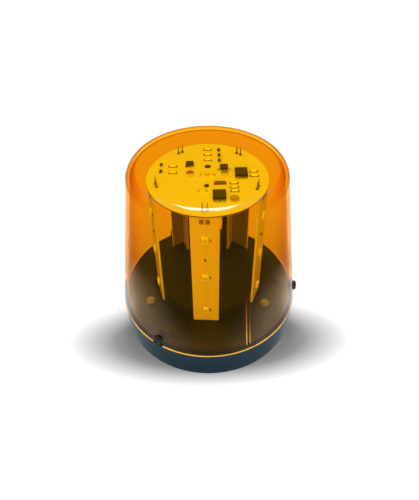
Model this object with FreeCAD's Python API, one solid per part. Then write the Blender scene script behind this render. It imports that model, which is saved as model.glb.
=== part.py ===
import FreeCAD, Part
import math
import os

# Amber LED beacon in millimetres. +Z is up and the origin is the centre of the
# mounting face. The front of the beacon looks along -Y. Angles are measured
# about +Z from +X. Radial features are first built along +X and then turned.

# ---- base housing ---------------------------------------------------------
seam_r = 75.0            # outer radius of base and lens where they meet
foot_r = 73.5            # outer radius at the mounting face
seam_z = 26.0            # height of the shelf that carries the lens
floor_z = 34.8           # top of the inner floor
floor_thickness = 4.0
base_wall = 4.2
spigot_gap = 0.6         # between the spigot and the inside of the lens
spigot_chamfer = 3.0     # height of the lead-in round the floor
spigot_chamfer_in = 2.4
foot_edge_r = 0.8
underside_rib_thickness = 2.4
underside_rib_count = 6
underside_rib_angle = 57.5
underside_rib_lift = 14.0   # clear height under the ribs for the cable

plinth_r = 44.5          # round plinth inside the ring of LED boards
plinth_top_z = 48.0
plinth_wall = 3.6

# ---- lens -----------------------------------------------------------------
lens_wall = 3.0
lens_top_z = 156.8
lens_shoulder_wall_r = 58.3   # radius the tapered wall would reach at the roof
lens_shoulder_round = 9.0
lens_lip_z = 26.3        # lower edge of the lens, resting on its gasket
key_angle = -64.5         # locating key inside the lens
key_width = 3.0
key_depth = 1.8
key_bottom_z = 27.5
key_height = 54.5
key_clearance = 0.4

# ---- seals ----------------------------------------------------------------
lens_gasket_width = 1.9
lens_gasket_groove = 1.4
lens_gasket_edge = 0.9   # wall left outside the groove
foot_gasket_width = 2.3
foot_gasket_height = 2.0
foot_gasket_play = 0.1

# ---- lens screws ----------------------------------------------------------
screw_angle = -124.5
screw_count = 3
screw_z = 32.0
screw_shank_r = 2.0
screw_length = 12.5
screw_head_r = 4.1
screw_head_height = 3.2
screw_socket_r = 1.6
screw_socket_depth = 1.4
screw_land_inset = 1.5   # from the seam's radius in to the flat under each head
screw_seat_gap = 0.1
screw_play = 0.06        # running clearance in the insert
screw_slot_clearance = 0.45
lug_half_width = 6.5
lug_reach = 16.5         # from the seam's radius in to the end of each lug
insert_wall = 1.1
insert_length = 9.0
insert_recess = 0.4

# ---- mounting bushes ------------------------------------------------------
bush_circle_r = 55.0
bush_angle = -153.2
bush_count = 3
bush_r = 4.0
bush_bore_r = 2.5
bush_bore_depth = 24.0
bush_proud = 4.2
bush_boss_r = 7.2
bush_round = 1.6

# ---- LED boards -----------------------------------------------------------
board_count = 5
board_angle = -93.9
board_face_x = 43.3      # distance of the LED face from the axis
board_width = 20.6
board_thickness = 1.6
pocket_depth = 2.0
pocket_front = 3.3       # pocket floor in front of the LED face
pocket_side = 2.2

brace_x = 17.7           # inner edge of each brace behind the two rear boards
brace_y = 25.5
brace_lean_angle = 18.0  # between each brace and the front-to-back plane
brace_thickness = 1.6
brace_slot_depth = 2.0
brace_slot_clearance = 0.1
brace_head_gap = 1.0     # under the feet of the pins

led_count = 3
led_floor_gap = 11.3     # from the floor to the middle of the lowest LED
led_roof_gap = 21.4      # from the middle of the highest LED to the top board
led_size = 5.0
led_height = 1.6
led_window_r = 2.0
led_window_depth = 0.35
led_corner = 0.9
ballast_length = 2.0     # resistor in the middle of each LED board
ballast_width = 1.25
ballast_height = 0.6
ballast_above = 18.5     # above the middle LED
led_diode_length = 1.6
led_diode_width = 0.8
led_diode_height = 0.5
led_diode_gap = 1.2

# ---- control board on top -------------------------------------------------
top_board_r = 44.8
roof_clearance = 11.7    # from the board's upper face to the top of the lens
top_board_edge = 0.3
pin_setback = 3.5        # from each LED board's back to its pair of pins
pin_pitch = 3.5
pin_half = 0.32
pin_proud = 6.0
pin_tail = 4.6
pin_hole_clearance = 0.15
solder_base_r = 1.35
solder_top_r = 0.5
solder_height = 1.5

# ---- components on the control board --------------------------------------
lead_thickness = 0.4
standoff = 0.15          # under the moulded packages
switch_width = 9.2
switch_depth = 9.4
switch_height = 2.6
switch_lead_length = 3.6
switch_lead_width = 0.95
regulator_width = 5.8
regulator_depth = 5.4
regulator_height = 1.8
regulator_tab_width = 10.0
regulator_tab_depth = 1.9
chip_width = 5.4
chip_depth = 6.6
chip_height = 1.4
chip_lead_reach = 0.8
capacitor_r = 3.0
capacitor_height = 2.0
capacitor_foot = 0.6
capacitor_round = 0.5
diode_length = 4.7
diode_width = 3.3
diode_height = 0.9
small_diode_length = 3.6
small_diode_width = 2.7
transistor_width = 1.9
transistor_depth = 3.5
transistor_height = 1.1
transistor_lead_reach = 0.8
cap_length = 0.6         # metal end cap of a chip component
cap_proud = 0.12
resistor_length = 5.5
resistor_width = 2.2
resistor_height = 0.7
chip_capacitor_length = 4.0
chip_capacitor_width = 2.5
chip_capacitor_height = 1.0
fuse_length = 8.1
fuse_width = 3.0
fuse_height = 1.5
trimmer_r = 3.3
trimmer_dial_r = 2.2
trimmer_height = 2.0
trimmer_slot = 0.6

# ---- supply riser ---------------------------------------------------------
riser_x = 14.0
riser_y = 16.0
riser_r = 1.9
riser_plug_size = 7.5
riser_plug_height = 6.0
grommet_flange_r = 5.0
grommet_neck_r = 3.4
grommet_flange = 1.2

# ---- terminal block -------------------------------------------------------
terminal_count = 3
terminal_pitch = 8.0
terminal_depth = 14.0
terminal_height = 12.0
terminal_y = -12.0
terminal_entry_r = 1.8
terminal_screw_r = 2.0
terminal_screw_height = 3.0
terminal_screw_slot = 0.7

# ---- values that follow from the ones above --------------------------------
lens_slope = (seam_r - lens_shoulder_wall_r) / (lens_top_z - seam_z)
lens_tilt = math.atan(lens_slope)
spigot_r = seam_r - lens_wall - spigot_gap
key_top_z = key_bottom_z + key_height
top_board_top_z = lens_top_z - roof_clearance
top_board_z = top_board_top_z - board_thickness
board_back_x = board_face_x - board_thickness
board_bottom_z = floor_z - pocket_depth
floor_under_z = floor_z - floor_thickness
plinth_under_z = plinth_top_z - plinth_wall
cavity_r = foot_r - base_wall
upper_cavity_r = spigot_r - base_wall
lug_inner_x = seam_r - lug_reach
screw_land_x = seam_r - screw_land_inset
screw_head_x = screw_land_x + screw_seat_gap
insert_r = screw_shank_r + screw_play + insert_wall
led_first_z = floor_z + led_floor_gap
led_pitch = (top_board_z - led_roof_gap - led_first_z) / (led_count - 1)
pin_x = board_back_x - pin_setback
brace_top_z = top_board_z - pin_tail - brace_head_gap

os.makedirs("parts", exist_ok=True)


# ---- helpers ----------------------------------------------------------------
def vec(x, y, z):
    return FreeCAD.Vector(x, y, z)


def block(x0, x1, y0, y1, z0, z1):
    return Part.makeBox(x1 - x0, y1 - y0, z1 - z0, vec(x0, y0, z0))


def rod(radius, z0, z1, x=0.0, y=0.0):
    return Part.makeCylinder(radius, z1 - z0, vec(x, y, z0))


def rod_x(radius, x0, x1, z):
    """Cylinder along +X through the axis plane at height z."""
    return Part.makeCylinder(radius, x1 - x0, vec(x0, 0, z), vec(1, 0, 0))


def tube(outer_r, inner_r, z0, z1):
    return rod(outer_r, z0, z1).cut(rod(inner_r, z0 - 1, z1 + 1))


def turned(shape, angle):
    copy = shape.copy()
    copy.rotate(vec(0, 0, 0), vec(0, 0, 1), angle)
    return copy


def around(shape, start, count):
    return [turned(shape, start + 360.0 * index / count) for index in range(count)]


def cut_all(shape, tools):
    for tool in tools:
        shape = shape.cut(tool)
    return shape


def fuse_all(shape, others):
    for other in others:
        shape = shape.fuse(other)
    return shape.removeSplitter()


def profile(points):
    """Closed face in the XZ plane through (radius, height) points."""
    corners = [vec(r, 0, z) for r, z in points]
    return Part.Face(Part.makePolygon(corners + corners[:1]))


def revolved(points):
    return profile(points).revolve(vec(0, 0, 0), vec(0, 0, 1), 360)


def extruded_xz(points, half_width):
    face = profile(points)
    face.translate(vec(0, -half_width, 0))
    return face.extrude(vec(0, 2 * half_width, 0))


def export(name, shape):
    shape.exportStep("parts/" + name + ".step")


def export_group(name, shapes):
    export(name, Part.makeCompound(shapes))


def lens_r(z, inset=0.0):
    """Radius of the lens wall at height z, moved inwards square to the wall."""
    return seam_r - (z - seam_z) * lens_slope - inset / math.cos(lens_tilt)


def spigot_side_r(z):
    return spigot_r - (z - seam_z) * lens_slope


def base_side_r(z):
    return foot_r + (seam_r - foot_r) * (z - foot_edge_r) / (seam_z - foot_edge_r)


# ---- lens -------------------------------------------------------------------
def lens_body(inset, bottom_z):
    """Solid of revolution bounded by the lens surface moved inwards by inset."""
    roof_z = lens_top_z - inset
    round_r = lens_shoulder_round - inset
    centre_z = roof_z - round_r
    centre_r = lens_r(centre_z, inset + round_r)
    wall_r = centre_r + round_r * math.cos(lens_tilt)
    wall_z = centre_z + round_r * math.sin(lens_tilt)
    middle = (lens_tilt + math.pi / 2) / 2
    middle_r = centre_r + round_r * math.cos(middle)
    middle_z = centre_z + round_r * math.sin(middle)
    foot = vec(lens_r(bottom_z, inset), 0, bottom_z)
    wall_end = vec(wall_r, 0, wall_z)
    roof_start = vec(centre_r, 0, roof_z)
    roof_centre = vec(0, 0, roof_z)
    foot_centre = vec(0, 0, bottom_z)
    edges = [
        Part.makeLine(foot_centre, foot),
        Part.makeLine(foot, wall_end),
        Part.Arc(wall_end, vec(middle_r, 0, middle_z), roof_start).toShape(),
        Part.makeLine(roof_start, roof_centre),
        Part.makeLine(roof_centre, foot_centre),
    ]
    return Part.Face(Part.Wire(edges)).revolve(vec(0, 0, 0), vec(0, 0, 1), 360)


def lens_key():
    """Tapered rib on the inside of the lens that drops into the keyway."""
    def inner_r(z):
        return lens_r(z, lens_wall)
    rib = extruded_xz([(inner_r(key_bottom_z) - key_depth, key_bottom_z),
                       (inner_r(key_bottom_z) + 1, key_bottom_z),
                       (inner_r(key_top_z) + 1, key_top_z),
                       (inner_r(key_top_z), key_top_z)], key_width / 2)
    return turned(rib, key_angle)


def screw_slot(half_width, x0, x1):
    """Round-ended slot, open at the lens lip, so that the lens lifts off its screws."""
    return rod_x(half_width, x0, x1, screw_z).fuse(
        block(x0, x1, -half_width, half_width, lens_lip_z - 1, screw_z))


def make_lens():
    shell = lens_body(0, lens_lip_z).cut(lens_body(lens_wall, lens_lip_z - 1))
    shank_slot = screw_slot(screw_shank_r + screw_slot_clearance, lug_inner_x, seam_r + 5)
    head_land = screw_slot(screw_head_r + screw_slot_clearance, screw_land_x, seam_r + 5)
    shell = cut_all(shell, around(shank_slot.fuse(head_land), screw_angle, screw_count))
    return shell.fuse(lens_key()).removeSplitter()


# ---- base housing -------------------------------------------------------------
def plinth_solid(round_r, flat_x, z0, z1):
    """Round plinth with one flat behind each LED board."""
    flat = block(flat_x, round_r + 5, -round_r, round_r, z0 - 1, z1 + 1)
    return cut_all(rod(round_r, z0, z1), around(flat, board_angle, board_count))


def screw_lug():
    """Arched lug that holds a screw insert, trimmed to the slope of the spigot."""
    lug = rod_x(lug_half_width, lug_inner_x, seam_r, screw_z)
    skirt = block(lug_inner_x, seam_r, -lug_half_width, lug_half_width, seam_z, screw_z)
    top_z = screw_z + lug_half_width + 1
    limit = revolved([(0, seam_z - 1), (spigot_side_r(seam_z - 1), seam_z - 1),
                      (spigot_side_r(top_z), top_z), (0, top_z)])
    return lug.fuse(skirt).common(limit)


def make_base():
    corner_z = floor_z - spigot_chamfer
    outside = revolved([(0, 0), (foot_r - foot_edge_r, 0), (foot_r, foot_edge_r),
                        (seam_r, seam_z), (spigot_r, seam_z),
                        (spigot_side_r(corner_z), corner_z),
                        (spigot_r - spigot_chamfer_in, floor_z), (0, floor_z)])
    outside = outside.fuse(plinth_solid(plinth_r, board_back_x, seam_z, plinth_top_z))
    outside = fuse_all(outside, around(screw_lug(), screw_angle, screw_count))
    step_z = seam_z - base_wall
    cavity = revolved([(0, -1), (cavity_r, -1), (cavity_r, foot_gasket_height),
                       (base_side_r(step_z) - base_wall, step_z),
                       (upper_cavity_r, seam_z), (upper_cavity_r, floor_under_z),
                       (0, floor_under_z)])
    cavity = cavity.fuse(plinth_solid(plinth_r - plinth_wall, board_back_x - plinth_wall,
                                      floor_under_z - 1, plinth_under_z))
    fittings = [shape.common(outside) for shape in underside_ribs() + underside_bosses()]
    return cut_all(fuse_all(outside.cut(cavity), fittings), base_cuts())


def underside_ribs():
    """Stiffening ribs from the wall to the plinth's hollow."""
    rib = block(plinth_r - plinth_wall - 1, cavity_r + 1, -underside_rib_thickness / 2,
                underside_rib_thickness / 2, underside_rib_lift, floor_under_z + 1)
    return around(rib, underside_rib_angle, underside_rib_count)


def underside_bosses():
    bush_boss = rod(bush_boss_r, 0, floor_under_z + 1, bush_circle_r)
    outer_web = block(bush_circle_r, cavity_r + 1, -underside_rib_thickness / 2,
                      underside_rib_thickness / 2, 0, floor_under_z + 1)
    lug_root = block(lug_inner_x, upper_cavity_r + 1, -lug_half_width, lug_half_width,
                     screw_z - lug_half_width, floor_under_z + 1)
    bosses = around(bush_boss.fuse(outer_web), bush_angle, bush_count)
    return bosses + around(lug_root, screw_angle, screw_count)


def base_cuts():
    pocket = block(board_back_x, board_face_x + pocket_front, -board_width / 2 - pocket_side,
                   board_width / 2 + pocket_side, board_bottom_z, floor_z + 1)
    insert_seat = rod_x(insert_r, lug_inner_x - 1, seam_r, screw_z)
    bush_hole = rod(bush_r, -1, floor_z + 1, bush_circle_r)
    cuts = around(pocket, board_angle, board_count)
    cuts += around(insert_seat, screw_angle, screw_count)
    cuts += around(bush_hole, bush_angle, bush_count)
    cuts += [brace(side, brace_slot_clearance, plinth_top_z + 1) for side in (-1, 1)]
    cuts += [keyway(), lens_gasket_space(), foot_gasket_space()]
    cuts.append(rod(grommet_neck_r, plinth_under_z - 1, plinth_top_z + 1, riser_x, riser_y))
    return cuts


def keyway():
    half = key_width / 2 + key_clearance
    inner_x = lens_r(key_bottom_z, lens_wall) - key_depth - 2 * key_clearance
    return turned(block(inner_x, seam_r - lens_wall, -half, half, seam_z, floor_z + 1), key_angle)


def lens_gasket_space():
    outer_r = seam_r - lens_gasket_edge
    return tube(outer_r, outer_r - lens_gasket_width, seam_z - lens_gasket_groove, seam_z + 1)


def foot_gasket_space():
    return rod(cavity_r + foot_gasket_width, -1, foot_gasket_height)


# ---- seals and metal inserts ---------------------------------------------------
def make_lens_gasket():
    outer_r = seam_r - lens_gasket_edge
    return tube(outer_r, outer_r - lens_gasket_width, seam_z - lens_gasket_groove, lens_lip_z)


def make_foot_gasket():
    outer_r = cavity_r + foot_gasket_width - foot_gasket_play
    bosses = around(rod(bush_boss_r + foot_gasket_play, -1, foot_gasket_height + 1, bush_circle_r),
                    bush_angle, bush_count)
    return cut_all(tube(outer_r, cavity_r, 0, foot_gasket_height), bosses)


def make_bush():
    """Brass bush with a blind bore for a mounting bolt and a rounded upper end."""
    body = rod(bush_r, 0, floor_z + bush_proud, bush_circle_r)
    rim = [edge for edge in body.Edges if edge.BoundBox.ZMin > floor_z]
    body = body.makeFillet(bush_round, rim)
    return body.cut(rod(bush_bore_r, -1, bush_bore_depth, bush_circle_r))


def make_screw_insert():
    end_x = spigot_side_r(screw_z + insert_r) - insert_recess
    sleeve = rod_x(insert_r, end_x - insert_length, end_x, screw_z)
    return sleeve.cut(rod_x(screw_shank_r + screw_play, lug_inner_x - 5, seam_r, screw_z))


def make_lens_screw():
    """Button-head screw with a hexagon socket, built along +X."""
    shank = rod_x(screw_shank_r, screw_head_x - screw_length, screw_head_x + 0.5, screw_z)
    head = rod_x(screw_head_r, screw_head_x, screw_head_x + screw_head_height, screw_z)
    outer_x = screw_head_x + screw_head_height
    rim = [edge for edge in head.Edges if edge.BoundBox.XMin > outer_x - 0.1]
    head = head.makeFillet(screw_head_height * 0.6, rim)
    corners = [vec(outer_x + 1, screw_socket_r * math.cos(math.radians(60 * side)),
                   screw_z + screw_socket_r * math.sin(math.radians(60 * side)))
               for side in range(7)]
    socket = Part.Face(Part.makePolygon(corners)).extrude(vec(-screw_socket_depth - 1, 0, 0))
    return shank.fuse(head).cut(socket).removeSplitter()


# ---- LED boards ------------------------------------------------------------------
def make_led_board():
    return block(board_back_x, board_face_x, -board_width / 2, board_width / 2,
                 board_bottom_z, top_board_z)


def brace(side, clearance, top_z):
    """Upright brace from the plinth to the top board, grown by clearance at its sides."""
    half = brace_thickness / 2 + clearance
    plate = block(-clearance, board_face_x, -half, half, plinth_top_z - brace_slot_depth, top_z)
    plate.rotate(vec(0, 0, 0), vec(0, 0, 1), 90 - side * brace_lean_angle)
    plate.translate(vec(side * brace_x, brace_y, 0))
    rear_board = (board_count - side) / 2
    beyond = block(board_back_x, 3 * board_face_x, -seam_r, seam_r, 0, 2 * lens_top_z)
    return plate.cut(turned(beyond, board_angle + 360.0 * rear_board / board_count))


def led_z(index):
    return led_first_z + index * led_pitch


def make_led(z):
    """Square surface-mount LED with a round window and a cut corner."""
    half = led_size / 2
    outer_x = board_face_x + led_height
    body = block(board_face_x, outer_x, -half, half, z - half, z + half)
    corner = [edge for edge in body.Edges
              if edge.BoundBox.YMin > half - 0.1 and edge.BoundBox.ZMin > z + half - 0.1]
    body = body.makeChamfer(led_corner, corner)
    return body.cut(rod_x(led_window_r, outer_x - led_window_depth, outer_x + 1, z))


def make_board_leds():
    return [make_led(led_z(index)) for index in range(led_count)]


def make_board_passives():
    """One ballast resistor, and a small diode beside each LED."""
    ballast_z = led_z(1) + ballast_above
    parts = [block(board_face_x, board_face_x + ballast_height, -ballast_width / 2,
                   ballast_width / 2, ballast_z - ballast_length / 2,
                   ballast_z + ballast_length / 2)]
    diode_y = led_size / 2 + led_diode_gap
    for index in range(led_count):
        z = led_z(index)
        parts.append(block(board_face_x, board_face_x + led_diode_height, diode_y,
                           diode_y + led_diode_width, z - led_diode_length / 2,
                           z + led_diode_length / 2))
    return parts


def make_board_pin(side):
    """Right-angled pin from the back of an LED board up through the top board."""
    y = side * pin_pitch / 2
    foot_z = top_board_z - pin_tail
    upright = block(pin_x - pin_half, pin_x + pin_half, y - pin_half, y + pin_half,
                    foot_z, top_board_top_z + pin_proud)
    foot = block(pin_x - pin_half, board_back_x, y - pin_half, y + pin_half,
                 foot_z, foot_z + 2 * pin_half)
    solder = Part.makeCone(solder_base_r, solder_top_r, solder_height,
                           vec(pin_x, y, top_board_top_z))
    return fuse_all(upright, [foot, solder])


# ---- control board and its components ------------------------------------------------
def make_top_board():
    disc = rod(top_board_r, top_board_z, top_board_top_z)
    disc = disc.makeChamfer(top_board_edge, [edge for edge in disc.Edges
                                             if isinstance(edge.Curve, Part.Circle)])
    half = pin_half + pin_hole_clearance
    holes = []
    for side in (-1, 1):
        y = side * pin_pitch / 2
        hole = block(pin_x - half, pin_x + half, y - half, y + half,
                     top_board_z - 1, top_board_top_z + 1)
        holes += around(hole, board_angle, board_count)
    return cut_all(disc, holes)


def on_top(x, y, length, width, height, lift=0.0):
    """Block centred at x, y that stands on the top board."""
    z0 = top_board_top_z + lift
    return block(x - length / 2, x + length / 2, y - width / 2, y + width / 2, z0, z0 + height)


def power_switch(x, y, lead_count):
    """Moulded power package with a row of flat leads along its front."""
    body = on_top(x, y, switch_width, switch_depth, switch_height, standoff)
    rim_z = top_board_top_z + switch_height
    top_edges = [edge for edge in body.Edges if edge.BoundBox.ZMin > rim_z]
    body = body.makeChamfer(switch_height * 0.18, top_edges)
    pitch = switch_width / lead_count
    lead_y = y - switch_depth / 2 - switch_lead_length * 0.2
    leads = []
    for index in range(lead_count):
        lead_x = x + (index - (lead_count - 1) / 2) * pitch
        leads.append(on_top(lead_x, lead_y, switch_lead_width, switch_lead_length,
                            2 * lead_thickness))
    return fuse_all(body, leads)


def make_regulator(x, y):
    """Moulded package with a wide heat tab along its front."""
    body = on_top(x, y, regulator_width, regulator_depth, regulator_height, standoff)
    tab = on_top(x, y - regulator_depth / 2, regulator_tab_width, regulator_tab_depth,
                 2 * lead_thickness)
    return fuse_all(body, [tab])


def gull_wing_chip(x, y, lead_count):
    """Small-outline chip with a row of leads on its left and right sides."""
    body = on_top(x, y, chip_width, chip_depth, chip_height, standoff)
    leads = []
    for index in range(lead_count):
        lead_y = y + (index - (lead_count - 1) / 2) * chip_depth / (lead_count + 0.4)
        leads.append(on_top(x, lead_y, chip_width + 2 * chip_lead_reach, lead_thickness,
                            lead_thickness))
    return fuse_all(body, leads)


def end_capped(x, y, length, width, height):
    """Chip component whose metal end caps stand slightly proud of its body."""
    body = on_top(x, y, length - 2 * cap_length, width - 2 * cap_proud, height)
    caps = [on_top(x + side * (length - cap_length) / 2, y, cap_length, width,
                   height + cap_proud) for side in (-1, 1)]
    return fuse_all(body, caps)


def round_capacitor(x, y):
    foot = rod(capacitor_r * 0.92, top_board_top_z, top_board_top_z + capacitor_foot, x, y)
    can_top_z = top_board_top_z + capacitor_height
    can = rod(capacitor_r, top_board_top_z + capacitor_foot, can_top_z, x, y)
    rim = [edge for edge in can.Edges if edge.BoundBox.ZMin > can_top_z - 0.1]
    return foot.fuse(can.makeFillet(capacitor_round, rim)).removeSplitter()


def oval_diode(x, y, length, width):
    """Moulded diode with an oval outline."""
    outline = Part.Ellipse(vec(x, y, top_board_top_z), length / 2, width / 2).toShape()
    return Part.Face(Part.Wire([outline])).extrude(vec(0, 0, diode_height))


def signal_transistor(x, y):
    body = on_top(x, y, transistor_width, transistor_depth, transistor_height, standoff)
    reach = transistor_width / 2 + transistor_lead_reach
    leads = [on_top(x - reach / 2, y, reach, lead_thickness, lead_thickness)]
    for side in (-1, 1):
        leads.append(on_top(x + reach / 2, y + side * transistor_depth * 0.3, reach,
                            lead_thickness, lead_thickness))
    return fuse_all(body, leads)


def make_trimmer(x, y):
    """Round trimmer with a slotted dial."""
    body = rod(trimmer_r, top_board_top_z, top_board_top_z + trimmer_height * 0.6, x, y)
    top_z = top_board_top_z + trimmer_height
    dial = rod(trimmer_dial_r, top_board_top_z + trimmer_height * 0.5, top_z, x, y)
    slot = on_top(x, y, 3 * trimmer_dial_r, trimmer_slot, trimmer_height, trimmer_height * 0.8)
    return body.fuse(dial).cut(slot).removeSplitter()


def at(right, back):
    """Place on the top board, as parts of its radius to the right and to the back."""
    return right * top_board_r, back * top_board_r


def row(right, backs):
    return [at(right, back) for back in backs]


def resistors(places, length):
    return [end_capped(x, y, length, resistor_width, resistor_height) for x, y in places]


def small_capacitor(x, y, length):
    return end_capped(x, y, length, chip_capacitor_width, chip_capacitor_height)


def export_top_components():
    export_group("power_switches", [power_switch(*at(0.175, -0.515), 5),
                                    power_switch(*at(0.553, 0.074), 5)])
    export("controller_chip", gull_wing_chip(*at(-0.292, 0.345), 5))
    export("voltage_regulator", make_regulator(*at(0.277, 0.243)))
    export_group("capacitors", [round_capacitor(*at(-0.284, 0.064)),
                                round_capacitor(*at(0.281, 0.064))])
    export_group("rectifier_diodes", [
        oval_diode(*at(0.009, 0.281), diode_length, diode_width),
        oval_diode(*at(-0.020, -0.252), small_diode_length, small_diode_width)])
    transistor_places = row(0.208, (0.449, 0.607, 0.768)) + row(-0.768, (0.152, 0.344))
    export_group("signal_transistors", [signal_transistor(x, y) for x, y in transistor_places])
    export_group("gate_resistors", resistors(row(0.013, (0.478, 0.641, 0.799)),
                                             resistor_length))
    chip_places = row(-0.571, (0.118, 0.304)) + row(0.763, (-0.002, 0.123))
    chip_places += row(0.420, (-0.400, -0.299, -0.190))
    export_group("chip_resistors", resistors(chip_places, resistor_length))
    export_group("chip_capacitors", [small_capacitor(*at(-0.071, 0.040), chip_capacitor_length),
                                     small_capacitor(*at(0.065, 0.040), chip_capacitor_length),
                                     small_capacitor(*at(-0.089, -0.379), resistor_length)])
    export("fuse", end_capped(*at(0.196, -0.190), fuse_length, fuse_width, fuse_height))
    export("trimmer", make_trimmer(*at(0.406, -0.600)))


# ---- supply riser ------------------------------------------------------------------
def make_riser():
    bottom_z = plinth_under_z - riser_plug_height
    return rod(riser_r, bottom_z, top_board_z - riser_plug_height, riser_x, riser_y)


def make_riser_grommet():
    """Rubber grommet that clasps the plinth roof round the supply riser."""
    neck = rod(grommet_neck_r, plinth_under_z - grommet_flange, plinth_top_z + grommet_flange,
               riser_x, riser_y)
    upper = rod(grommet_flange_r, plinth_top_z, plinth_top_z + grommet_flange, riser_x, riser_y)
    lower = rod(grommet_flange_r, plinth_under_z - grommet_flange, plinth_under_z,
                riser_x, riser_y)
    rim = [edge for edge in upper.Edges if edge.BoundBox.ZMin > plinth_top_z + 0.1]
    upper = upper.makeFillet(grommet_flange * 0.6, rim)
    return fuse_all(neck, [upper, lower]).cut(
        rod(riser_r, plinth_under_z - 5, plinth_top_z + 5, riser_x, riser_y))


def make_riser_plug():
    """Plug housing under the top board that takes the end of the riser."""
    half = riser_plug_size / 2
    body = block(riser_x - half, riser_x + half, riser_y - half * 0.7, riser_y + half * 0.7,
                 top_board_z - riser_plug_height, top_board_z)
    latch = block(riser_x - 1.2, riser_x + 1.2, riser_y + half * 0.7 - 0.2,
                  riser_y + half * 0.7 + 1.0, top_board_z - riser_plug_height + 1, top_board_z - 1)
    return body.fuse(latch).removeSplitter()


# ---- terminal block --------------------------------------------------------------------
def terminal_centres():
    return [(index - (terminal_count - 1) / 2) * terminal_pitch for index in range(terminal_count)]


def make_terminal_block():
    """Screw terminal block under the plinth roof, with wire entries at the front."""
    half_length = terminal_count * terminal_pitch / 2
    half_depth = terminal_depth / 2
    bottom_z = plinth_under_z - terminal_height
    body = block(-half_length, half_length, terminal_y - half_depth, terminal_y + half_depth,
                 bottom_z, plinth_under_z)
    front_edge = [edge for edge in body.Edges
                  if edge.BoundBox.ZMax < bottom_z + 0.1
                  and edge.BoundBox.YMax < terminal_y - half_depth + 0.1]
    body = body.makeChamfer(terminal_height * 0.3, front_edge)
    for x in terminal_centres():
        entry_z = plinth_under_z - terminal_height * 0.4
        entry = Part.makeCylinder(terminal_entry_r, terminal_depth * 0.7,
                                  vec(x, terminal_y - half_depth - 1, entry_z), vec(0, 1, 0))
        well = rod(terminal_screw_r, bottom_z - 1, bottom_z + terminal_screw_height + 0.5,
                   x, terminal_y + 1)
        body = body.cut(entry).cut(well)
    return body


def make_terminal_screws():
    bottom_z = plinth_under_z - terminal_height
    screws = []
    for x in terminal_centres():
        seat_z = bottom_z + 0.5
        screw = rod(terminal_screw_r, seat_z, seat_z + terminal_screw_height, x, terminal_y + 1)
        slot = block(x - terminal_screw_r - 1, x + terminal_screw_r + 1,
                     terminal_y + 1 - terminal_screw_slot / 2,
                     terminal_y + 1 + terminal_screw_slot / 2, seat_z - 1, seat_z + 1)
        screws.append(screw.cut(slot))
    return screws


# ---- export -----------------------------------------------------------------------------
def export_turned(prefix, shape, start, count):
    for index, copy in enumerate(around(shape, start, count)):
        export(prefix + "_" + str(index + 1), copy)


export("base_housing", make_base())
export("foot_gasket", make_foot_gasket())
export_group("mounting_bushes", around(make_bush(), bush_angle, bush_count))
export("lens_dome", make_lens())
export("lens_gasket", make_lens_gasket())
export_group("screw_inserts", around(make_screw_insert(), screw_angle, screw_count))
export_turned("lens_screw", make_lens_screw(), screw_angle, screw_count)

export_turned("led_board", make_led_board(), board_angle, board_count)
export("rear_brace_left", brace(-1, 0, brace_top_z))
export("rear_brace_right", brace(1, 0, brace_top_z))
export_turned("leds", Part.makeCompound(make_board_leds()), board_angle, board_count)
export_group("led_board_passives", around(Part.makeCompound(make_board_passives()),
                                          board_angle, board_count))
export_group("board_pins", around(Part.makeCompound([make_board_pin(-1), make_board_pin(1)]),
                                  board_angle, board_count))

export("top_board", make_top_board())
export_top_components()

export("supply_riser", make_riser())
export("riser_grommet", make_riser_grommet())
export("riser_plug", make_riser_plug())
export("terminal_block", make_terminal_block())
export_group("terminal_screws", make_terminal_screws())
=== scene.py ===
import math

import bmesh
import bpy
from mathutils import Matrix, Vector


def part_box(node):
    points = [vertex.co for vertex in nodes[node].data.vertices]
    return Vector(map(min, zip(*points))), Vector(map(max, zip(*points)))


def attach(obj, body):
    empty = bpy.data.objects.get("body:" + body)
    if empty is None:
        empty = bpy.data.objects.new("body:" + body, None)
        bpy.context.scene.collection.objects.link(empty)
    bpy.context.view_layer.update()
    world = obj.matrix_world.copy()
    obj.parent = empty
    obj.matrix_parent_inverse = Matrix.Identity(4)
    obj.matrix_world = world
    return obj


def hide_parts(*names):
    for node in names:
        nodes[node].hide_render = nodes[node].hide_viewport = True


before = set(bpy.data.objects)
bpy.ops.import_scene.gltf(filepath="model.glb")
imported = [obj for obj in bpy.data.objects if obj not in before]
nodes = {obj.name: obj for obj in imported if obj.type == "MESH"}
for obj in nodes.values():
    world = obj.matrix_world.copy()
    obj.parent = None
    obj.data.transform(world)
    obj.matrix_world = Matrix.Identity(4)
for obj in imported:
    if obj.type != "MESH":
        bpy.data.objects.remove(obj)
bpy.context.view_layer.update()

# Metres, in the frame of the model: +Z up, the front towards -Y.

# ---- sizes read from the frame ------------------------------------------------
lens_low, lens_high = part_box("lens_dome")
base_low, base_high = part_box("base_housing")
board_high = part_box("top_board")[1]
seam_r = base_high.x
top_board_z = board_high.z
lip_z = lens_low.z

mm = 0.001
board_count = 5
board_angle = -93.9          # direction of the first LED board, in degrees from +X
board_face_x = 43.3 * mm     # LED face from the axis
board_width = 20.6 * mm
led_first_z = 46.1 * mm
led_pitch = 38.0 * mm
led_count = 3
key_angle = -64.5
seam_z = 26.0 * mm
pin_pitch = 3.5 * mm
pin_foot_z = 138.8 * mm      # where the pins pass through each LED board

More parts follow.
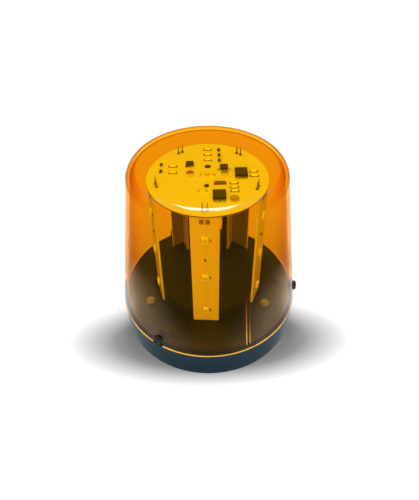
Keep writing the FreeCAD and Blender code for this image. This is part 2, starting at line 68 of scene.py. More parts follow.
# ---- colours, as linear values --------------------------------------------------
AMBER_WALL = (0.900, 0.505, 0.010)
AMBER_EDGE = (0.81, 0.27, 0.008)      # looking along the wall, through more of it
AMBER_SHOULDER = (0.86, 0.29, 0.004)  # the turn from the wall to the roof
AMBER_RIM = (0.54, 0.11, 0.006)       # the shoulder's outline
AMBER_LIGHT = (1.0, 0.91, 0.30)      # tint of the light that falls in through the lens
SHADOW_DEPTH = 0.35                  # share of the light that passes the whole lens
CREAM_GLOW = (1.0, 0.70, 0.36)        # painted glow, standing in for light that comes out of the lens's cut edges
# painted glow at the top of the key's left flank
RED_GLOW = (1.0, 0.16, 0.10)
BASE_BLUE = (0.0005, 0.0110, 0.0200)
SHEEN_BLUE = (0.70, 0.92, 1.0)
BASE_INSIDE = (0.013, 0.014, 0.011)
# The two board whites differ in tint as painted light: the LED boards' warmer white stands in for
# amber light falling on them more strongly than on the top board.
BOARD_WHITE = (0.90, 0.93, 0.60)
STRIP_WHITE = (0.97, 0.84, 0.50)
EPOXY_BLACK = (0.018, 0.017, 0.016)


# ---- material helpers -----------------------------------------------------------
class Nodes:
    """A material's node tree, with short calls to add nodes and join them."""

    def __init__(self, name):
        self.material = bpy.data.materials.new(name)
        self.material.use_nodes = True
        self.tree = self.material.node_tree
        self.shader = self.tree.nodes["Principled BSDF"]
        self.output = self.tree.nodes["Material Output"]

    def add(self, kind, **settings):
        node = self.tree.nodes.new(kind)
        for key, value in settings.items():
            setattr(node, key, value)
        return node

    def join(self, source, target):
        self.tree.links.new(source, target)

    def set(self, **values):
        for key, value in values.items():
            self.shader.inputs[key.replace("_", " ")].default_value = value

    def coordinates(self):
        return self.add("ShaderNodeTexCoord").outputs["Object"]

    def noise(self, scale, detail=4.0, roughness=0.55, stretch=None):
        """Factor of a noise texture in object coordinates."""
        texture = self.add("ShaderNodeTexNoise")
        texture.inputs["Scale"].default_value = scale
        texture.inputs["Detail"].default_value = detail
        texture.inputs["Roughness"].default_value = roughness
        source = self.coordinates()
        if stretch is not None:
            mapping = self.add("ShaderNodeMapping")
            mapping.inputs["Scale"].default_value = stretch
            self.join(source, mapping.inputs["Vector"])
            source = mapping.outputs["Vector"]
        self.join(source, texture.inputs["Vector"])
        return texture.outputs["Fac"]

    def ramp(self, factor, low, high, low_at=0.3, high_at=0.7):
        """Blends two values or colours along a factor."""
        node = self.add("ShaderNodeValToRGB")
        node.color_ramp.elements[0].position = low_at
        node.color_ramp.elements[1].position = high_at
        node.color_ramp.elements[0].color = as_colour(low)
        node.color_ramp.elements[1].color = as_colour(high)
        self.join(factor, node.inputs["Fac"])
        return node.outputs["Color"]

    def mix(self, factor, first, second, blend="MIX"):
        node = self.add("ShaderNodeMix", data_type="RGBA", blend_type=blend)
        for value, socket in ((factor, 0), (first, 6), (second, 7)):
            if isinstance(value, bpy.types.NodeSocket):
                self.join(value, node.inputs[socket])
            elif socket == 0:
                node.inputs[socket].default_value = value
            else:
                node.inputs[socket].default_value = as_colour(value)
        return node.outputs[2]

    def bump(self, height, strength, distance):
        node = self.add("ShaderNodeBump")
        node.inputs["Strength"].default_value = strength
        node.inputs["Distance"].default_value = distance
        self.join(height, node.inputs["Height"])
        self.join(node.outputs["Normal"], self.shader.inputs["Normal"])
        return node

    def edges(self, low_at=0.51, high_at=0.58):
        """About 1 on convex edges and 0 elsewhere."""
        return self.ramp(self.add("ShaderNodeNewGeometry").outputs["Pointiness"],
                         0.0, 1.0, low_at, high_at)


def as_colour(value):
    """Colour socket value of a grey level or of a linear colour."""
    if isinstance(value, (int, float)):
        return (value, value, value, 1.0)
    return (*value, 1.0)


def scaled(colour, factor):
    return tuple(channel * factor for channel in colour)


def between(m, value, low, high):
    """Rises from 0 at low to 1 at high."""
    node = m.add("ShaderNodeMapRange")
    node.inputs["From Min"].default_value = low
    node.inputs["From Max"].default_value = high
    m.join(value, node.inputs["Value"])
    return node.outputs["Result"]


def combine(m, operation, first, second):
    """Joins two values by a Math node's operation."""
    node = m.add("ShaderNodeMath", operation=operation)
    m.join(first, node.inputs[0])
    m.join(second, node.inputs[1])
    return node.outputs[0]


def times(m, first, second):
    return combine(m, "MULTIPLY", first, second)


def larger(m, first, second):
    return combine(m, "MAXIMUM", first, second)


def height_of(m):
    """Height above the mounting face of the point being shaded."""
    place = m.add("ShaderNodeSeparateXYZ")
    m.join(m.coordinates(), place.inputs["Vector"])
    return place.outputs["Z"]


# ---- materials --------------------------------------------------------------------
def lens_material():
    """Clear amber polycarbonate, deeper in colour where one looks along the wall or into
    the thick shoulder. Light passes one wall as through a tinted window, and what passes
    both walls reaches the floor as a plain grey shadow."""
    m = Nodes("amber_lens")
    m.set(Transmission_Weight=1.0, IOR=1.006, Coat_IOR=1.8, Coat_Roughness=0.04)
    height = height_of(m)
    layer = m.add("ShaderNodeLayerWeight")
    layer.inputs["Blend"].default_value = 0.5
    slant = layer.outputs["Facing"]

    wall = m.ramp(slant, AMBER_WALL, AMBER_EDGE, 0.58, 0.92)
    top_z = lens_high.z
    in_shoulder = between(m, height, top_z - 9 * mm, top_z - 6 * mm)
    below_roof = between(m, height, top_z - 0.01 * mm, top_z - 0.03 * mm)
    normal = m.add("ShaderNodeSeparateXYZ")
    m.join(m.add("ShaderNodeNewGeometry").outputs["Normal"], normal.inputs["Vector"])
    level = m.add("ShaderNodeMath", operation="ABSOLUTE")
    m.join(normal.outputs["Z"], level.inputs[0])
    curved = times(m, in_shoulder, between(m, level.outputs[0], 0.985, 0.95))
    thick = times(m, curved, between(m, slant, 0.25, 0.42))
    deep = m.ramp(slant, AMBER_SHOULDER, AMBER_RIM, 0.45, 0.70)
    m.join(m.mix(thick, wall, deep), m.shader.inputs["Base Color"])

    fine = m.noise(60.0, 3.0)
    m.join(m.ramp(fine, 0.0, 0.035, 0.35, 0.8), m.shader.inputs["Roughness"])
    m.bump(m.noise(24.0, 2.0), 0.06, 0.0006)

    roof_turn = times(m, between(m, height, top_z - 1.2 * mm, top_z - 0.6 * mm), below_roof)
    polished = times(m, roof_turn, between(m, slant, 0.36, 0.28))
    low_wall = times(m, between(m, height, 100 * mm, 40 * mm), between(m, slant, 0.30, 0.70))
    walls = larger(m, m.ramp(low_wall, 0.0, 0.85, 0.0, 1.0),
                   m.ramp(slant, 0.0, 0.80, 0.70, 0.94))
    m.join(larger(m, m.ramp(polished, 0.03, 1.0, 0.0, 1.0), walls),
           m.shader.inputs["Coat Weight"])

    window = m.add("ShaderNodeBsdfTransparent")
    path = m.add("ShaderNodeLightPath")
    near_wall = tuple(math.sqrt(channel) for channel in AMBER_LIGHT)
    far_wall = tuple(math.sqrt(SHADOW_DEPTH / channel) for channel in AMBER_LIGHT)
    beyond = m.add("ShaderNodeMath", operation="GREATER_THAN")
    beyond.inputs[1].default_value = 1.5      # the two faces of the nearer wall are passed
    m.join(path.outputs["Transparent Depth"], beyond.inputs[0])
    m.join(m.mix(beyond.outputs[0], near_wall, far_wall), window.inputs["Color"])
    blend = m.add("ShaderNodeMixShader")
    m.join(path.outputs["Is Shadow Ray"], blend.inputs["Fac"])
    m.join(m.shader.outputs["BSDF"], blend.inputs[1])
    m.join(window.outputs["BSDF"], blend.inputs[2])
    m.join(blend.outputs["Shader"], m.output.inputs["Surface"])
    return m.material


def glowing_edge_material(name, low_colour, high_colour, high_z, strength, inner_r=0.0):
    """A cut edge of the lens, with a painted glow that stands in for the light piped along the
    wall and coming out there. It glows outside a radius, and its colour changes with height."""
    m = Nodes(name)
    m.set(Base_Color=as_colour(scaled(low_colour, 0.25)), Transmission_Weight=0.35, IOR=1.05,
          Roughness=0.25, Emission_Strength=strength)
    rise = between(m, height_of(m), lip_z, high_z)
    streaks = m.ramp(m.noise(90.0, 2.0), 0.65, 1.0, 0.3, 0.65)
    glow = m.mix(1.0, m.mix(rise, low_colour, high_colour), streaks, "MULTIPLY")
    flat = m.add("ShaderNodeVectorMath", operation="MULTIPLY")
    flat.inputs[1].default_value = (1.0, 1.0, 0.0)
    m.join(m.coordinates(), flat.inputs[0])
    radius = m.add("ShaderNodeVectorMath", operation="LENGTH")
    m.join(flat.outputs["Vector"], radius.inputs[0])
    outer = between(m, radius.outputs["Value"], inner_r - 0.2 * mm, inner_r + 0.2 * mm)
    m.join(m.mix(outer, (0.0, 0.0, 0.0), glow), m.shader.inputs["Emission Color"])
    m.bump(m.noise(400.0), 0.1, 0.0002)
    return m.material


def base_material(name, colour, specular, sheen):
    """Satin moulded plastic with a fine spark-eroded grain, and paler convex edges that are
    partly wear and partly a painted highlight.
    """
    m = Nodes(name)
    mottled = m.ramp(m.noise(35.0, 5.0), scaled(colour, 0.86), scaled(colour, 1.14))
    # paler convex edges: partly wear, partly painted highlight
    worn = m.mix(m.edges(), mottled, scaled(colour, 2.2))
    m.join(worn, m.shader.inputs["Base Color"])
    m.join(m.ramp(m.noise(120.0, 4.0), 0.34, 0.50), m.shader.inputs["Roughness"])
    m.bump(m.noise(1900.0, 3.0), 0.18, 0.00012)
    m.set(Specular_IOR_Level=specular, Sheen_Weight=sheen, Sheen_Roughness=0.35,
          Sheen_Tint=as_colour(SHEEN_BLUE))
    return m.material


def rubber_material():
    """Matt black rubber with a fine grain."""
    m = Nodes("black_rubber")
    m.join(m.ramp(m.noise(200.0), (0.014, 0.014, 0.015), (0.03, 0.03, 0.031)),
           m.shader.inputs["Base Color"])
    m.join(m.ramp(m.noise(400.0), 0.62, 0.82), m.shader.inputs["Roughness"])
    m.bump(m.noise(1500.0), 0.2, 0.0001)
    return m.material


def metal_material(name, colour, roughness, grain, dark=0.6):
    """Machined or plated metal with fine marks that are darker in places."""
    m = Nodes(name)
    m.set(Metallic=1.0)
    marks = m.noise(grain, 6.0, 0.7, (1.0, 1.0, 4.0))
    m.join(m.ramp(marks, scaled(colour, dark), colour, 0.25, 0.6), m.shader.inputs["Base Color"])
    m.join(m.ramp(m.noise(grain * 0.6), roughness * 0.7, roughness * 1.4),
           m.shader.inputs["Roughness"])
    m.bump(m.noise(grain * 2.0), 0.12, 0.00008)
    return m.material


def screw_material():
    """Black oxide, a little worn on its edges."""
    m = Nodes("black_screw")
    edge = m.edges(0.52, 0.6)
    m.join(m.mix(edge, (0.006, 0.006, 0.007), (0.04, 0.04, 0.042)), m.shader.inputs["Base Color"])
    m.join(m.ramp(m.noise(900.0), 0.16, 0.30), m.shader.inputs["Roughness"])
    m.set(Specular_IOR_Level=0.3)
    m.bump(m.noise(1600.0), 0.1, 0.00006)
    return m.material


def laminate_material(name, mask):
    """Solder mask or bare resin over glass laminate, with its weave just showing."""
    m = Nodes(name)
    weave = m.add("ShaderNodeTexBrick")
    weave.inputs["Scale"].default_value = 260.0
    weave.inputs["Mortar Size"].default_value = 0.03
    weave.inputs["Color1"].default_value = as_colour(mask)
    weave.inputs["Color2"].default_value = as_colour(scaled(mask, 0.97))
    weave.inputs["Mortar"].default_value = as_colour(scaled(mask, 0.94))
    m.join(m.coordinates(), weave.inputs["Vector"])
    cloudy = m.ramp(m.noise(45.0, 3.0), scaled(mask, 0.95), mask)
    blended = m.mix(0.4, weave.outputs["Color"], cloudy, "MULTIPLY")
    m.join(blended, m.shader.inputs["Base Color"])
    m.join(m.ramp(m.noise(300.0), 0.28, 0.42), m.shader.inputs["Roughness"])
    m.bump(weave.outputs["Fac"], 0.05, 0.00005)
    return m.material


def plastic_material(name, colour, roughness, grain=800.0, variation=0.12, edge_highlight_gain=1.7):
    """Moulded plastic or epoxy with a fine grain, and convex edges painted lighter as a
    highlight.
    """
    m = Nodes(name)
    body = m.ramp(m.noise(grain * 0.2), scaled(colour, 1 - variation),
                  scaled(colour, 1 + variation))
    # painted highlight: convex edges in a lighter colour
    m.join(m.mix(m.edges(), body, scaled(colour, edge_highlight_gain)), m.shader.inputs["Base Color"])
    m.join(m.ramp(m.noise(grain), roughness * 0.8, roughness * 1.2), m.shader.inputs["Roughness"])
    m.bump(m.noise(grain * 2.2), 0.14, 0.00006)
    return m.material


def phosphor_material():
    """Pale yellow gel that fills an LED's window."""
    m = Nodes("led_phosphor")
    m.join(m.ramp(m.noise(1500.0), (0.86, 0.80, 0.42), (0.95, 0.90, 0.58)),
           m.shader.inputs["Base Color"])
    m.set(Roughness=0.22, Subsurface_Weight=0.15, Coat_Weight=0.5)
    m.bump(m.noise(2500.0), 0.05, 0.00004)
    return m.material


materials = {
    "lens": lens_material(),
    "lens_lip": glowing_edge_material("lens_lip", CREAM_GLOW, CREAM_GLOW, 0.08, 1.0, seam_r - 0.0013),
    "key_left": glowing_edge_material("lens_key_left", CREAM_GLOW, RED_GLOW, 0.060, 1.4),
    "key_right": glowing_edge_material("lens_key_right", CREAM_GLOW, (0.03, 0.01, 0.0), 0.055, 0.7),
    "base": base_material("base_plastic", BASE_BLUE, 0.03, 0.34),
    "base_inside": base_material("base_plastic_inside", BASE_INSIDE, 0.3, 0.0),
    "rubber": rubber_material(),
    "brass": metal_material("brass", (0.54, 0.56, 0.12), 0.34, 700.0),
    "screw": screw_material(),
    "board": laminate_material("control_board_laminate", BOARD_WHITE),
    "board_edge": plastic_material("laminate_edge", (0.26, 0.15, 0.05), 0.45),
    # darker laminate on the LED boards' backs: painted shade inside the ring of boards
    "shaded_board_back": laminate_material("board_back_painted_shade", (0.42, 0.31, 0.12)),
    "brace": laminate_material("brace_laminate", (0.80, 0.64, 0.32)),
    "strip": laminate_material("led_board_laminate", STRIP_WHITE),
    "led": plastic_material("led_package", (0.94, 0.92, 0.80), 0.30, 900.0, 0.05, 1.1),
    "phosphor": phosphor_material(),
    "tin": metal_material("tinned_leads", (0.78, 0.78, 0.76), 0.26, 900.0, 0.6),
    "pin": metal_material("tinned_pins", (0.42, 0.40, 0.36), 0.34, 900.0, 0.5),
    "epoxy": plastic_material("chip_black", EPOXY_BLACK, 0.42, 900.0, 0.15, 2.4),
    "can": plastic_material("capacitor_can", (0.66, 0.60, 0.38), 0.36, 600.0),
    "mark": plastic_material("polarity_mark", (0.14, 0.10, 0.06), 0.45),
    # dark sides of the chip resistors: painted shade, as outlines round their pale tops
    "resistor": plastic_material("resistor_body", (0.10, 0.07, 0.04), 0.34),
    "glaze": plastic_material("resistor_glaze", (0.78, 0.72, 0.40), 0.30),
    "ceramic": plastic_material("ceramic_body", (0.60, 0.47, 0.22), 0.36),
    "fuse": plastic_material("fuse_body", (0.11, 0.055, 0.02), 0.36),
    "trimmer": plastic_material("trimmer_body", (0.36, 0.26, 0.13), 0.40),
    "sheath": plastic_material("cable_sheath", (0.035, 0.030, 0.028), 0.50),
    "nylon": plastic_material("plug_housing", (0.70, 0.69, 0.62), 0.38, 700.0, 0.04, 1.05),
    "terminal": plastic_material("terminal_body", (0.05, 0.22, 0.08), 0.40),
    "zinc": metal_material("zinc_screw", (0.74, 0.76, 0.74), 0.26, 800.0),
}

finishes = {
    "lens": ["lens_dome"],
    "base": ["base_housing"],
    "rubber": ["foot_gasket", "lens_gasket", "riser_grommet"],
    "brass": ["mounting_bushes", "screw_inserts"],
    "screw": ["lens_screw_1", "lens_screw_2", "lens_screw_3"],
    "board": ["top_board"],
    "brace": ["rear_brace_left", "rear_brace_right"],
    "pin": ["board_pins"],
    "epoxy": ["power_switches", "controller_chip", "voltage_regulator", "rectifier_diodes",
              "signal_transistors", "led_board_passives"],
    "can": ["capacitors"],
    "resistor": ["gate_resistors", "chip_resistors"],
    "ceramic": ["chip_capacitors"],
    "fuse": ["fuse"],
    "trimmer": ["trimmer"],
    "sheath": ["supply_riser"],
    "nylon": ["riser_plug"],
    "terminal": ["terminal_block"],
    "zinc": ["terminal_screws"],
}
for number in range(1, board_count + 1):
    finishes.setdefault("strip", []).append("led_board_%d" % number)
    finishes.setdefault("led", []).append("leds_%d" % number)


def paint(obj, *names):
    obj.data.materials.clear()
    for name in names:
        obj.data.materials.append(materials[name])


for finish, node_names in finishes.items():
    for node_name in node_names:
        paint(nodes[node_name], finish)


# ---- faces of CAD nodes that take a second finish ---------------------------------
def second_finish(obj, name, chosen):
    """Gives another material to the faces that the test picks."""
    obj.data.materials.append(materials[name])
    index = len(obj.data.materials) - 1
    for face in obj.data.polygons:
        if chosen(face):
            face.material_index = index


def on_lens_lip(face):
    return face.center.z < lip_z + 0.1 * mm


def on_lens_key(face, side):
    """Flank of the locating key, on its left (-1) or right (1) seen from the front."""
    turn = math.radians(key_angle)
    outward = Vector((math.cos(turn), math.sin(turn), 0))
    sideways = Vector((-outward.y, outward.x, 0))
    if face.center.dot(outward) < 0.055 or abs(face.normal.dot(sideways)) < 0.9:
        return False
    return 0 < side * face.center.dot(sideways) < 1.7 * mm


def is_upright(face):
    return abs(face.normal.z) < 0.3


def looks_inwards(face):
    """Back of an LED board, towards the axis."""
    outward = Vector((face.center.x, face.center.y, 0)).normalized()
    return face.normal.dot(outward) < -0.8


def inside_lens(face):
    """Faces of the base that the lens covers."""
    return face.center.z > seam_z + 0.3 * mm


def is_lead(face):
    """Flat leads of a moulded package, which lie close to the board."""
    return face.center.z < top_board_z + 0.81 * mm and face.area < 12e-6


def on_chip_top(face):
    return face.normal.z > 0.9 and face.center.z > top_board_z + 0.5 * mm


def on_end_cap(face):
    """Tops of the end caps, which stand a little higher than the chip's body."""
    height = face.center.z - top_board_z
    return face.normal.z > 0.9 and any(abs(height - cap) < 0.03 * mm
                                       for cap in (0.82 * mm, 1.12 * mm, 1.62 * mm))


second_finish(nodes["lens_dome"], "lens_lip", on_lens_lip)
second_finish(nodes["lens_dome"], "key_left", lambda face: on_lens_key(face, -1))
second_finish(nodes["lens_dome"], "key_right", lambda face: on_lens_key(face, 1))
second_finish(nodes["top_board"], "board_edge", is_upright)
# the backs of the LED boards, towards the axis, take the darker finish as painted shade
for number in range(1, board_count + 1):
    second_finish(nodes["led_board_%d" % number], "shaded_board_back", looks_inwards)
second_finish(nodes["base_housing"], "base_inside", inside_lens)
for name in ("power_switches", "voltage_regulator", "controller_chip", "signal_transistors"):
    second_finish(nodes[name], "tin", is_lead)
# only the tops turn pale, so the sides stay dark as painted shade
for name in ("gate_resistors", "chip_resistors"):
    second_finish(nodes[name], "glaze", on_chip_top)
for name in ("gate_resistors", "chip_resistors", "chip_capacitors", "fuse"):
    second_finish(nodes[name], "tin", on_end_cap)

for name in ("lens_dome", "base_housing", "mounting_bushes", "lens_screw_1", "lens_screw_2",
             "lens_screw_3", "capacitors", "riser_grommet"):
    data = nodes[name].data
    data.shade_smooth()
    data.set_sharp_from_angle(angle=math.radians(32))


# ---- new pieces ------------------------------------------------------------------------
def mesh_piece(name, build, finish, body):
    """A new object from a function that fills a bmesh."""
    bm = bmesh.new()
    build(bm)
    bmesh.ops.recalc_face_normals(bm, faces=bm.faces)
    data = bpy.data.meshes.new(name)
    bm.to_mesh(data)
    bm.free()
    obj = bpy.data.objects.new(name, data)
    bpy.context.scene.collection.objects.link(obj)
    paint(obj, finish)
    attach(obj, body)
    return obj


def radial(turn, x, y, z):
    """Point at x outwards and y sideways in the direction turn, in degrees."""
    c = math.cos(math.radians(turn))
    s = math.sin(math.radians(turn))
    return Vector((c * x - s * y, s * x + c * y, z))


def facing(turn):
    """Matrix whose Z axis points outwards in the direction turn."""
    angle = math.radians(turn)
    return Matrix.Rotation(angle, 4, "Z") @ Matrix.Rotation(math.pi / 2, 4, "Y")


def add_disc_dome(bm, matrix, radius, height, sides=20, rings=3):
    """Low dome with a flat underside, such as a solder joint or a gel fill."""
    loops = []
    for ring in range(rings):
        part = ring / rings
        r = radius * math.cos(part * math.pi / 2)
        z = height * math.sin(part * math.pi / 2)
        loops.append([bm.verts.new(matrix @ Vector((r * math.cos(2 * math.pi * i / sides),
                                                    r * math.sin(2 * math.pi * i / sides), z)))
                      for i in range(sides)])
    top = bm.verts.new(matrix @ Vector((0, 0, height)))
    for lower, upper in zip(loops, loops[1:]):
        for i in range(sides):
            bm.faces.new((lower[i], lower[(i + 1) % sides], upper[(i + 1) % sides], upper[i]))
    for i in range(sides):
        bm.faces.new((loops[-1][i], loops[-1][(i + 1) % sides], top))
    bm.faces.new(list(reversed(loops[0])))


def add_pad(bm, matrix, length, width, height):
    """Solder pad with sloped sides."""
    corners = []
    for inset, z in ((0.0, 0.0), (min(length, width) * 0.18, height)):
        corners.append([bm.verts.new(matrix @ Vector((sx * (length / 2 - inset),
                                                      sy * (width / 2 - inset), z)))
                        for sx, sy in ((-1, -1), (1, -1), (1, 1), (-1, 1))])
    lower, upper = corners
    for i in range(4):
        bm.faces.new((lower[i], lower[(i + 1) % 4], upper[(i + 1) % 4], upper[i]))
    bm.faces.new(upper)
    bm.faces.new(list(reversed(lower)))


def build_phosphor(bm):
    for board in range(board_count):
        turn = board_angle + 360.0 * board / board_count
        for led in range(led_count):
            place = Matrix.Translation(radial(turn, board_face_x + 1.27 * mm, 0,
                                              led_first_z + led * led_pitch))
            add_disc_dome(bm, place @ facing(turn), 1.95 * mm, 0.22 * mm)


def build_led_leads(bm):
    """Three solder fillets along each upright side of each LED."""
    for board in range(board_count):
        turn = board_angle + 360.0 * board / board_count
        for led in range(led_count):
            for side in (-1, 1):
                for step in (-1, 0, 1):
                    z = led_first_z + led * led_pitch + step * 1.6 * mm
                    place = Matrix.Translation(radial(turn, board_face_x, side * 2.75 * mm, z))
                    add_pad(bm, place @ facing(turn), 1.0 * mm, 1.1 * mm, 0.35 * mm)


def build_board_pads(bm):
    """Pads and solder round the pins, on the outer face of each LED board."""
    for board in range(board_count):
        turn = board_angle + 360.0 * board / board_count
        for side in (-1, 1):
            place = Matrix.Translation(radial(turn, board_face_x, side * 0.6 * pin_pitch,
                                              pin_foot_z))
            add_pad(bm, place @ facing(turn), 4.4 * mm, 3.2 * mm, 0.10 * mm)
            add_disc_dome(bm, place @ facing(turn), 1.2 * mm, 0.8 * mm)


def solids_in(obj):
    """Boxes of the separate solids of a node, each as its low and its high corner."""
    owner = {}

    def root(place):
        while owner[place] != place:
            place = owner[place]
        return place

    places = [tuple(round(value, 6) for value in vertex.co) for vertex in obj.data.vertices]
    for place in places:
        owner.setdefault(place, place)
    for face in obj.data.polygons:
        first = root(places[face.vertices[0]])
        for index in face.vertices[1:]:
            owner[root(places[index])] = first
    groups = {}
    for place in owner:
        groups.setdefault(root(place), []).append(place)
    return [(Vector(map(min, zip(*group))), Vector(map(max, zip(*group))))
            for group in groups.values()]


def build_top_solder(bm):
    """Solder fillets at the ends of the chip components on the control board."""
    fillet_length = 0.8 * mm
    overhang = 0.35 * mm         # from the component's end to the middle of the fillet
    for name in ("gate_resistors", "chip_resistors", "chip_capacitors", "fuse"):
        for low, high in solids_in(nodes[name]):
            for x in (low.x - overhang, high.x + overhang):
                place = Matrix.Translation(Vector((x, (low.y + high.y) / 2, top_board_z)))
                add_pad(bm, place, fillet_length, high.y - low.y, 0.40 * mm)


def build_polarity_marks(bm):
    """Printed half-moon on the top of each round capacitor."""
    low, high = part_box("capacitors")
    radius = (high.y - low.y) / 2 - 0.25 * mm
    middle = (high.y + low.y) / 2
    for x in (low.x + radius + 0.25 * mm, high.x - radius - 0.25 * mm):
        loops = []
        for z in (high.z - 0.02 * mm, high.z + 0.03 * mm):
            loops.append([bm.verts.new((x + radius * math.cos(math.radians(turn)),
                                        middle + radius * math.sin(math.radians(turn)), z))
                          for turn in range(-20, 201, 10)])
        lower, upper = loops
        count = len(lower)
        for i in range(count):
            bm.faces.new((lower[i], lower[(i + 1) % count], upper[(i + 1) % count], upper[i]))
        bm.faces.new(upper)
        bm.faces.new(list(reversed(lower)))


def add_tube(bm, points, radius, sides=8):
    """Round wire along a run of points that rises without sharp turns."""
    loops = []
    for i, point in enumerate(points):
        along = points[min(i + 1, len(points) - 1)] - points[max(i - 1, 0)]
        turn = along.to_track_quat("Z", "Y").to_matrix()
        loop = []
        for k in range(sides):
            angle = 2 * math.pi * k / sides
            offset = Vector((radius * math.cos(angle), radius * math.sin(angle), 0))
            loop.append(bm.verts.new(point + turn @ offset))
        loops.append(loop)
    for lower, upper in zip(loops, loops[1:]):
        for k in range(sides):
            bm.faces.new((lower[k], lower[(k + 1) % sides], upper[(k + 1) % sides], upper[k]))
    bm.faces.new(list(reversed(loops[0])))
    bm.faces.new(loops[-1])


def build_supply_wires(bm):
    """Five wires twisted round a sixth, squeezed together at the grommet and the plug."""
    low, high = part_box("supply_riser")
    middle = (low + high) / 2
    wire_r = 0.75 * mm
    squeezed_r = 1.12 * mm       # from the bundle's axis to that of an outer wire
    slack = 0.42 * mm            # how much further out the wires lie midway
    squeezed_run = 12 * mm       # over which they spread
    grommet_top_z = 55 * mm
    outer_count = 5
    steps = 60
    add_tube(bm, [Vector((middle.x, middle.y, z)) for z in (low.z, high.z)], wire_r)
    for wire in range(outer_count):
        points = []
        for step in range(steps + 1):
            part = step / steps
            z = low.z + part * (high.z - low.z)
            free = min(1.0, max(0.0, (z - grommet_top_z) / squeezed_run),
                       max(0.0, (high.z - z) / squeezed_run))
            spread = squeezed_r + slack * free * free * (3 - 2 * free)
            turn = 2 * math.pi * (wire / outer_count + 1.6 * part)
            points.append(Vector((middle.x + spread * math.cos(turn),
                                  middle.y + spread * math.sin(turn), z)))
        add_tube(bm, points, wire_r)


mesh_piece("led_windows", build_phosphor, "phosphor", "base")
mesh_piece("led_solder", build_led_leads, "tin", "base")
mesh_piece("led_board_pads", build_board_pads, "pin", "base")
mesh_piece("control_board_solder", build_top_solder, "tin", "base")
mesh_piece("capacitor_marks", build_polarity_marks, "mark", "base")
wires = mesh_piece("supply_wires", build_supply_wires, "sheath", "base")
wires.data.shade_smooth()
wires.data.set_sharp_from_angle(angle=math.radians(50))
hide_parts("supply_riser")


# ---- floor, backdrop and light -----------------------------------------------------------
def emission_for_views(tree_owner, lit, shown):
    """Strength shown to camera, glossy and transmitted rays, and lit for all others. Light
    that a matt surface gathers through the lens counts among the others."""
    tree = tree_owner.node_tree
    path = tree.nodes.new("ShaderNodeLightPath")
    first = tree.nodes.new("ShaderNodeMath")
    first.operation = "MAXIMUM"
    second = tree.nodes.new("ShaderNodeMath")
    second.operation = "MAXIMUM"
    tree.links.new(path.outputs["Is Camera Ray"], first.inputs[0])
    tree.links.new(path.outputs["Is Glossy Ray"], first.inputs[1])
    tree.links.new(first.outputs[0], second.inputs[0])
    tree.links.new(path.outputs["Is Transmission Ray"], second.inputs[1])
    direct = tree.nodes.new("ShaderNodeMath")
    direct.operation = "LESS_THAN"
    direct.inputs[1].default_value = 0.5
    tree.links.new(path.outputs["Diffuse Depth"], direct.inputs[0])
    seen = tree.nodes.new("ShaderNodeMath")
    seen.operation = "MULTIPLY"
    tree.links.new(second.outputs[0], seen.inputs[0])
    tree.links.new(direct.outputs[0], seen.inputs[1])
    strength = tree.nodes.new("ShaderNodeMapRange")
    strength.inputs["To Min"].default_value = lit
    strength.inputs["To Max"].default_value = shown
    tree.links.new(seen.outputs[0], strength.inputs["Value"])
    return strength.outputs["Result"]


def make_world():
    """White backdrop that turns to the grey of a studio ceiling overhead."""
    world = bpy.data.worlds.new("studio")
    bpy.context.scene.world = world
    world.use_nodes = True
    background = world.node_tree.nodes["Background"]
    tree = world.node_tree
    place = tree.nodes.new("ShaderNodeSeparateXYZ")
    direction = tree.nodes.new("ShaderNodeTexCoord").outputs["Generated"]
    tree.links.new(direction, place.inputs["Vector"])
    ceiling = tree.nodes.new("ShaderNodeValToRGB")
    ceiling.color_ramp.elements[0].position = 0.50
    ceiling.color_ramp.elements[0].color = (1, 1, 1, 1)
    ceiling.color_ramp.elements[1].position = 0.75
    ceiling.color_ramp.elements[1].color = (0.30, 0.30, 0.30, 1)
    tree.links.new(place.outputs["Z"], ceiling.inputs["Fac"])
    tree.links.new(ceiling.outputs["Color"], background.inputs["Color"])
    tree.links.new(emission_for_views(world, 0.07, 1.0), background.inputs["Strength"])


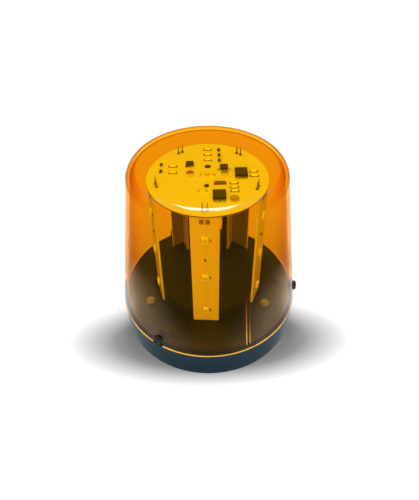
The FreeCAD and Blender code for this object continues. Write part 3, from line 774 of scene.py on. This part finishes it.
def make_floor():
    """Pale floor that shows pure white away from the object and keeps its shadow. Its glow
    is also taken away in an ellipse next to the base, which paints a soft shadow there."""
    data = bpy.data.meshes.new("floor")
    half = 3.0
    level = base_low.z - 0.0002
    corners = [(x * half, y * half, level) for x, y in ((-1, -1), (1, -1), (1, 1), (-1, 1))]
    data.from_pydata(corners, [], [(0, 1, 2, 3)])
    floor = bpy.data.objects.new("floor", data)
    bpy.context.scene.collection.objects.link(floor)
    m = Nodes("floor_pale")
    m.join(m.ramp(m.noise(6.0), (0.22, 0.22, 0.22), (0.24, 0.24, 0.24)),
           m.shader.inputs["Base Color"])
    m.set(Roughness=0.6, Specular_IOR_Level=0.2)
    glow = m.add("ShaderNodeEmission")
    away = m.add("ShaderNodeVectorMath", operation="LENGTH")
    m.join(m.coordinates(), away.inputs[0])
    backdrop = m.ramp(away.outputs["Value"], 0.80, 0.97, 0.12, 0.6)
    # painted shadow: an ellipse next to the base where the floor's glow fades to nothing
    shadow_ellipse_place = m.add("ShaderNodeMapping")
    shadow_ellipse_place.inputs["Location"].default_value = (0.0, 0.038, 0.0)
    shadow_ellipse_place.inputs["Scale"].default_value = (0.38, 1.0, 1.0)
    m.join(m.coordinates(), shadow_ellipse_place.inputs["Vector"])
    shadow_ellipse_reach = m.add("ShaderNodeVectorMath", operation="LENGTH")
    m.join(shadow_ellipse_place.outputs["Vector"], shadow_ellipse_reach.inputs[0])
    painted_shadow = m.ramp(shadow_ellipse_reach.outputs["Value"], 0.0, 1.0, 0.030, 0.048)
    m.join(m.mix(1.0, backdrop, painted_shadow, "MULTIPLY"), glow.inputs["Color"])
    m.join(emission_for_views(m.material, 0.0, 1.0), glow.inputs["Strength"])
    both = m.add("ShaderNodeAddShader")
    m.join(m.shader.outputs["BSDF"], both.inputs[0])
    m.join(glow.outputs["Emission"], both.inputs[1])
    m.join(both.outputs["Shader"], m.output.inputs["Surface"])
    data.materials.append(m.material)


def add_softbox(name, place, target, width, height, power, mirrored=False):
    """Area lamp. Only a mirrored one shows as a highlight on glossy surfaces."""
    light = bpy.data.lights.new(name, "AREA")
    light.shape = "RECTANGLE"
    light.size = width
    light.size_y = height
    light.energy = power
    lamp = bpy.data.objects.new(name, light)
    lamp.location = place
    lamp.visible_glossy = mirrored
    lamp.visible_camera = False
    lamp.visible_transmission = False
    lamp.rotation_euler = (Vector(target) - Vector(place)).to_track_quat("-Z", "Y").to_euler()
    bpy.context.scene.collection.objects.link(lamp)


make_world()
make_floor()
add_softbox("softbox_front", (0.0, -0.50, 0.90), (0, 0, 0.08), 1.3, 0.25, 7.8)
add_softbox("softbox_low", (0.0, -0.95, 0.42), (0, 0, 0.08), 0.8, 0.4, 5.8)
add_softbox("softbox_left", (-0.50, 0.05, 0.80), (0, 0, 0.07), 0.4, 0.4, 1.5)
add_softbox("softbox_right", (0.50, 0.05, 0.80), (0, 0, 0.07), 0.4, 0.4, 1.5)
add_softbox("strip_light", (0.0, 0.36, 0.85), (0, -0.05, 0.157), 0.26, 0.34, 2.0, True)


# ---- camera -----------------------------------------------------------------------------
camera_place = Vector((-0.0037, -0.2952, 0.3552))
camera_pitch = 43.9          # degrees below the horizon
camera_yaw = -0.9
camera_roll = -0.5
focal_length = 35.4          # for a 36 mm sensor

camera_data = bpy.data.cameras.new("camera")
camera_data.lens = focal_length
camera_data.sensor_width = 36.0
camera_data.clip_start = 0.01
camera = bpy.data.objects.new("camera", camera_data)
camera.matrix_world = (Matrix.Translation(camera_place)
                       @ Matrix.Rotation(math.radians(camera_yaw), 4, "Z")
                       @ Matrix.Rotation(math.radians(90 - camera_pitch), 4, "X")
                       @ Matrix.Rotation(math.radians(camera_roll), 4, "Z"))
bpy.context.scene.collection.objects.link(camera)
bpy.context.scene.camera = camera
bpy.context.scene.view_settings.view_transform = "Standard"
